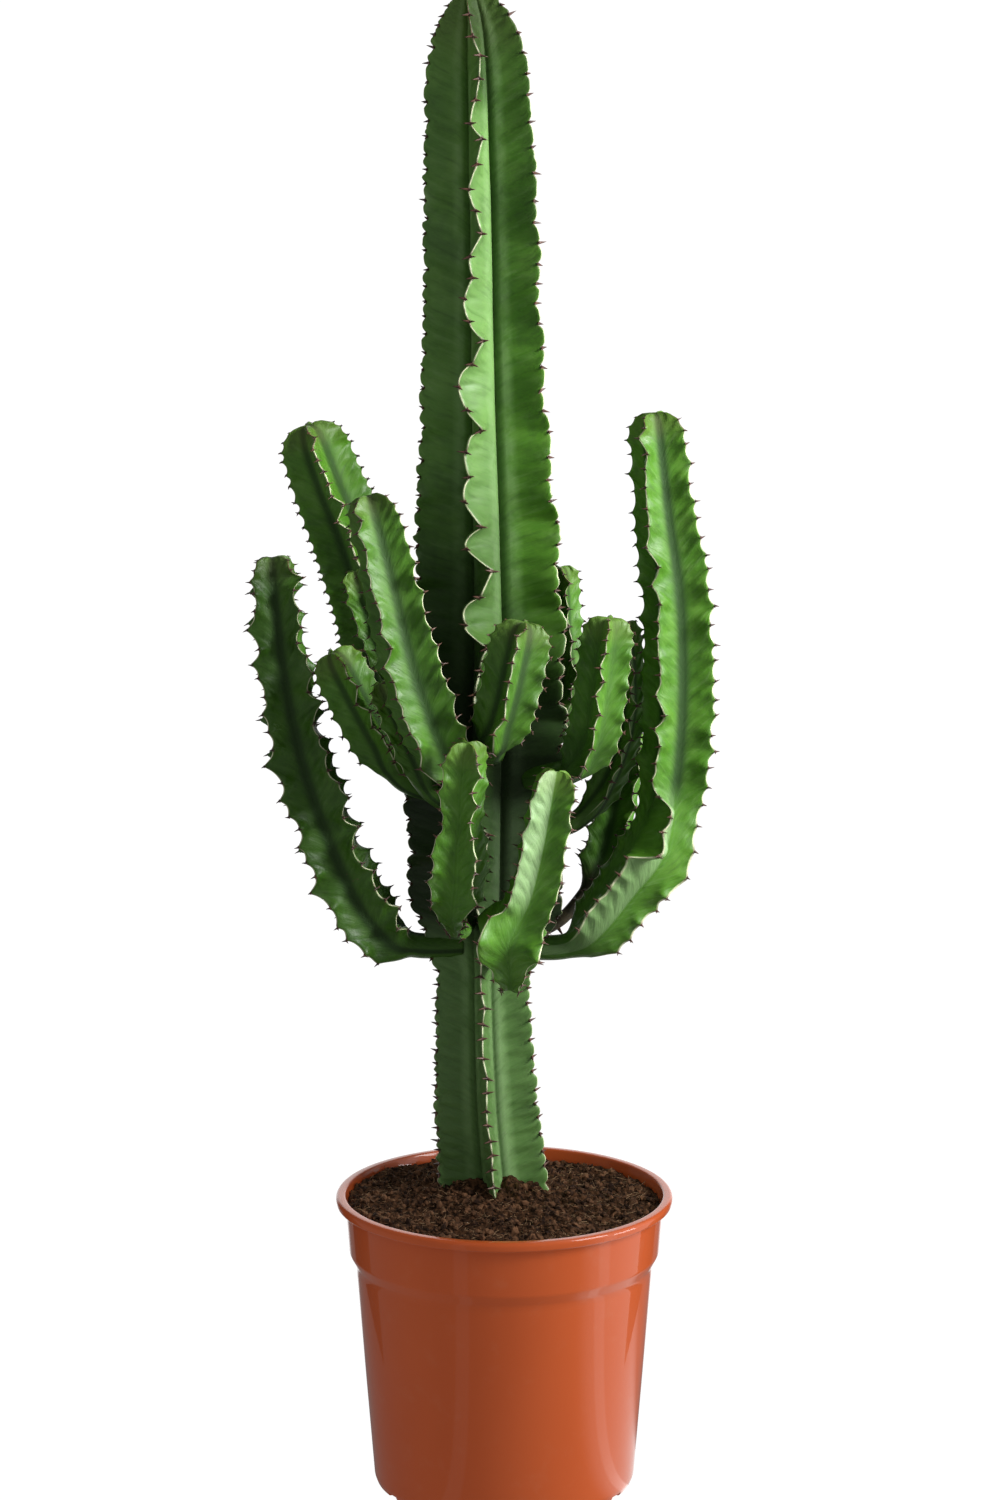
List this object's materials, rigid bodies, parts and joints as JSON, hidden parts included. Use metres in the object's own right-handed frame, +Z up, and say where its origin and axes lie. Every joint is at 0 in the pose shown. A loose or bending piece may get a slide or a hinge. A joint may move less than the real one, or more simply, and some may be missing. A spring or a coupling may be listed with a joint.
{
  "type": "potted candelabra euphorbia",
  "caption": "Tall ribbed succulent with upright ribbed arms and paired spines, growing in soil in a round tapered plastic nursery pot with a collar and a lip.",
  "frame": {"origin": "centre of the flat middle of the pot's underside, on the surface that the pot stands on", "axes": "+Z up along the pot's axis, -Y towards the side that the picture shows, +X to that side's right"},
  "size_m": [0.3372, 0.2574, 1.0585],
  "materials": {
    "pot_plastic": "satin",
    "potting_soil": "matte",
    "green_stem": "satin"
  },
  "bodies": {
    "root": {"pot": "pot_plastic", "soil": "potting_soil", "trunk": "green_stem", "arm_left_low": "green_stem", "arm_left_back": "green_stem", "arm_left_front": "green_stem", "arm_left_bud": "green_stem", "arm_left_mid": "green_stem", "arm_left_small": "green_stem", "arm_front_left": "green_stem", "arm_front_right": "green_stem", "arm_front_high": "green_stem", "arm_right_mid": "green_stem", "arm_right_behind": "green_stem", "arm_right_tall": "green_stem", "arm_right_stalked": "green_stem", "arm_back_right": "green_stem", "arm_back_tall": "green_stem", "arm_back_left": "green_stem", "arm_back_low": "green_stem"}
  },
  "joints": []
}
